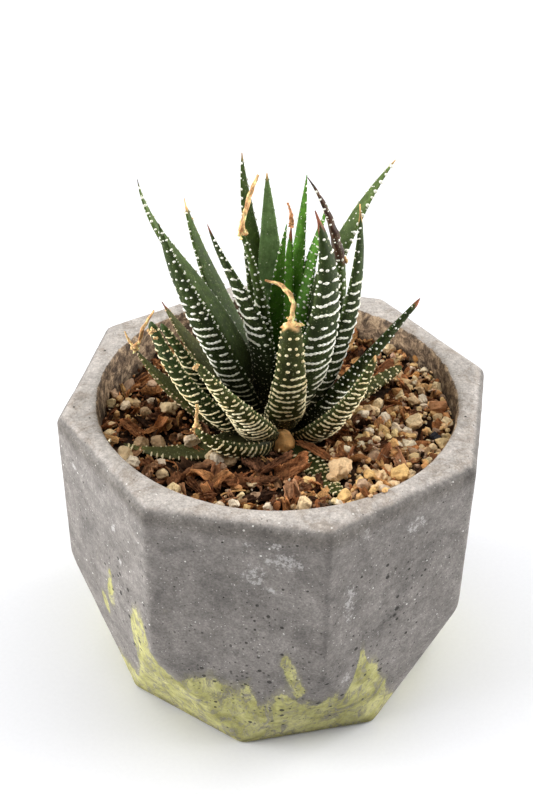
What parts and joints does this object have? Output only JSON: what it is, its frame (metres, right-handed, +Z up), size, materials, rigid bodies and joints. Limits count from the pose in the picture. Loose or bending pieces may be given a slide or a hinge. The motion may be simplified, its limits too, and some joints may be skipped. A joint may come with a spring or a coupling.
{
  "type": "potted succulent plant",
  "caption": "Zebra-striped haworthia rosette with pointed banded leaves in bark and pumice soil, in a faceted eight-sided grey concrete pot.",
  "frame": {"origin": "centre of the pot's flat base", "axes": "+Z up out of the pot's mouth; the eight upright walls face 0, 45, 90 ... degrees; the pictured side faces -Y"},
  "size_m": [0.111, 0.111, 0.1529],
  "materials": {
    "concrete": "raw cast concrete, grey, with fine pits and yellow-green stains low down",
    "soil": "loose red-brown bark with cream pumice and dark grit",
    "stem": "dry, pale brown, hidden below the leaves",
    "leaf": "dark green waxy satin, with raised cream to white bands of tubercles and a few dried tan tips"
  },
  "bodies": {
    "root": {"pot": "concrete", "soil": "soil", "stem_and_roots": "stem", "leaf_heart_1": "leaf", "leaf_heart_2": "leaf", "leaf_heart_3": "leaf", "leaf_heart_4": "leaf", "leaf_heart_5": "leaf", "leaf_inner_1": "leaf", "leaf_inner_2": "leaf", "leaf_inner_3": "leaf", "leaf_inner_4": "leaf", "leaf_inner_5": "leaf", "leaf_inner_6": "leaf", "leaf_middle_1": "leaf", "leaf_middle_2": "leaf", "leaf_middle_3": "leaf", "leaf_middle_4": "leaf", "leaf_middle_5": "leaf", "leaf_middle_6": "leaf", "leaf_outer_1": "leaf", "leaf_outer_2": "leaf", "leaf_outer_3": "leaf", "leaf_outer_4": "leaf", "leaf_outer_5": "leaf", "leaf_outer_6": "leaf", "leaf_outer_7": "leaf", "leaf_outer_8": "leaf", "leaf_low_1": "leaf", "leaf_low_2": "leaf", "leaf_low_3": "leaf", "leaf_low_4": "leaf", "leaf_low_5": "leaf", "leaf_low_6": "leaf", "leaf_low_7": "leaf", "leaf_low_8": "leaf"}
  },
  "joints": []
}
